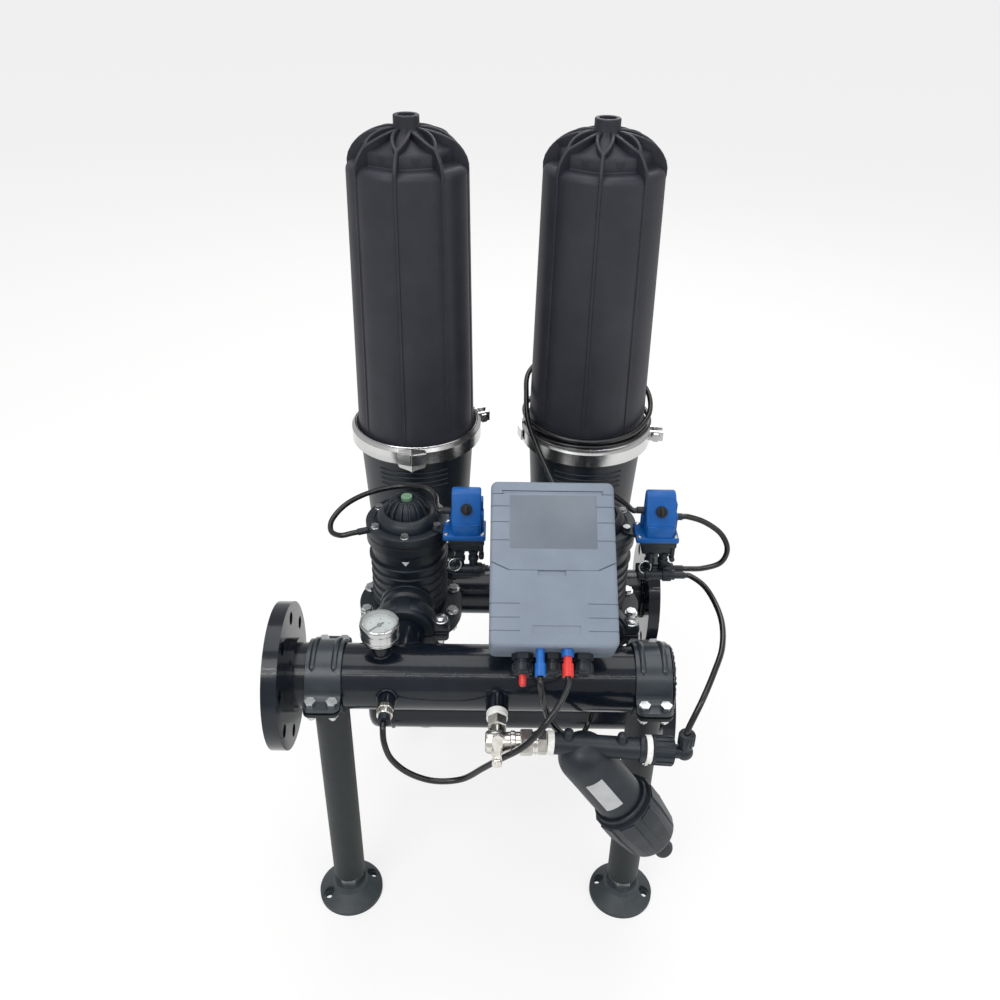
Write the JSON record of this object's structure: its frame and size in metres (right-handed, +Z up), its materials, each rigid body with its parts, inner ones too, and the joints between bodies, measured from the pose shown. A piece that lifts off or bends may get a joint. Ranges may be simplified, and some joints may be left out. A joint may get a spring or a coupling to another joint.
{
  "type": "irrigation disc filter station",
  "caption": "Backwash disc filter station: tall domed filter housings with diaphragm valves between flanged inlet, outlet and drain pipes, on legs, with a controller, gauge and strainer.",
  "frame": {"origin": "on the floor under the middle of the object's box", "axes": "+Z up, +X along the manifolds towards the outlet flange, front with the controller towards -Y"},
  "size_m": [0.631, 0.658, 1.117],
  "materials": {
    "black_paint": "gloss black paint on steel",
    "grey_paint": "dark grey paint on steel",
    "zinc": "bright zinc plating",
    "cover_plastic": "matte charcoal reinforced nylon",
    "valve_plastic": "black glass filled nylon",
    "stainless": "pressed stainless steel",
    "rubber": "black rubber",
    "disc_plastic": "moulded plastic discs",
    "green_plastic": "pale green plastic",
    "blue_plastic": "blue plastic",
    "red_plastic": "red plastic",
    "grey_plastic": "light grey moulded plastic",
    "lens": "clear gauge lens",
    "screen_steel": "fine steel mesh",
    "nickel": "nickel plated brass",
    "tube_plastic": "black polyethylene tube"
  },
  "bodies": {
    "station": {"inlet_manifold": "black_paint", "outlet_manifold": "black_paint", "drain_manifold": "black_paint", "front_legs": "grey_paint", "rear_legs": "grey_paint", "saddle_straps": "black_paint", "saddle_bolts": "zinc", "feet": "grey_paint", "levelling_studs": "zinc", "filter_cover_left": "cover_plastic", "filter_cover_right": "cover_plastic", "filter_base_left": "valve_plastic", "filter_base_right": "valve_plastic", "cover_clamp_left": "stainless", "cover_clamp_right": "stainless", "clamp_links": "stainless", "seal_rings": "rubber", "disc_stacks": "disc_plastic", "disc_spines": "valve_plastic", "press_spring_left": "zinc", "press_spring_right": "zinc", "valve_body_left": "valve_plastic", "valve_body_right": "valve_plastic", "valve_lower_bodies": "valve_plastic", "valve_bolts": "zinc", "valve_bonnets": "valve_plastic", "diaphragm_left": "rubber", "diaphragm_right": "rubber", "pipe_couplings": "black_paint", "coupling_bolts": "zinc", "solenoid_coils": "blue_plastic", "solenoid_bases": "valve_plastic", "controller_case": "grey_plastic", "controller_bracket": "black_paint", "cable_glands": "valve_plastic", "port_blue": "blue_plastic", "port_red": "red_plastic", "gauge_case": "stainless", "gauge_lens": "lens", "strainer_body": "valve_plastic", "strainer_cap": "valve_plastic", "strainer_screen": "screen_steel", "ball_valve": "nickel", "tube_fittings": "valve_plastic", "tube_high": "tube_plastic", "tube_low": "tube_plastic", "tube_supply": "tube_plastic", "tube_right": "tube_plastic", "tube_left": "tube_plastic", "tube_link": "tube_plastic", "tube_stowed": "tube_plastic"},
    "stem_left": {"valve_stem_left": "green_plastic"},
    "stem_right": {"valve_stem_right": "green_plastic"},
    "press_left": {"disc_press_left": "valve_plastic"},
    "press_right": {"disc_press_right": "valve_plastic"},
    "knob_left": {"override_knob_left": "valve_plastic"},
    "knob_right": {"override_knob_right": "valve_plastic"},
    "flap": {"controller_flap": "grey_plastic"},
    "needle": {"gauge_needle": "valve_plastic"},
    "lever": {"valve_lever": "nickel"}
  },
  "joints": [
    {"name": "stem_lift_left", "type": "slide", "parent": "station", "child": "stem_left", "axis": [0, 0, 1], "range_m": [0, 0.01], "stiffness_N_per_m": 1500, "springref_m": -0.004, "deforming": ["diaphragm_left"]},
    {"name": "press_lift_left", "type": "slide", "parent": "station", "child": "press_left", "axis": [0, 0, 1], "range_m": [0, 0.01], "stiffness_N_per_m": 3000, "springref_m": -0.01, "deforming": ["press_spring_left"]},
    {"name": "override_turn_left", "type": "hinge", "parent": "station", "child": "knob_left", "pos_m": [-0.037, -0.021, 0.6465], "axis": [0, -0.8988, 0.4384], "range_deg": [0, 90]},
    {"name": "stem_lift_right", "type": "slide", "parent": "station", "child": "stem_right", "axis": [0, 0, 1], "range_m": [0, 0.01], "stiffness_N_per_m": 1500, "springref_m": -0.004, "deforming": ["diaphragm_right"]},
    {"name": "press_lift_right", "type": "slide", "parent": "station", "child": "press_right", "axis": [0, 0, 1], "range_m": [0, 0.01], "stiffness_N_per_m": 3000, "springref_m": -0.01, "deforming": ["press_spring_right"]},
    {"name": "override_turn_right", "type": "hinge", "parent": "station", "child": "knob_right", "pos_m": [0.235, -0.021, 0.6465], "axis": [0, -0.8988, 0.4384], "range_deg": [0, 90]},
    {"name": "flap_hinge", "type": "hinge", "parent": "station", "child": "flap", "pos_m": [0.078, -0.07111, 0.70652], "axis": [-1, 0, 0], "range_deg": [0, 90]},
    {"name": "needle_turn", "type": "hinge", "parent": "station", "child": "needle", "pos_m": [-0.147, -0.166, 0.558], "axis": [0, 0, -1], "range_deg": [0, 270]},
    {"name": "lever_turn", "type": "hinge", "parent": "station", "child": "lever", "pos_m": [0.009, -0.285, 0.47], "axis": [0, 1, 0], "range_deg": [0, 90]}
  ]
}
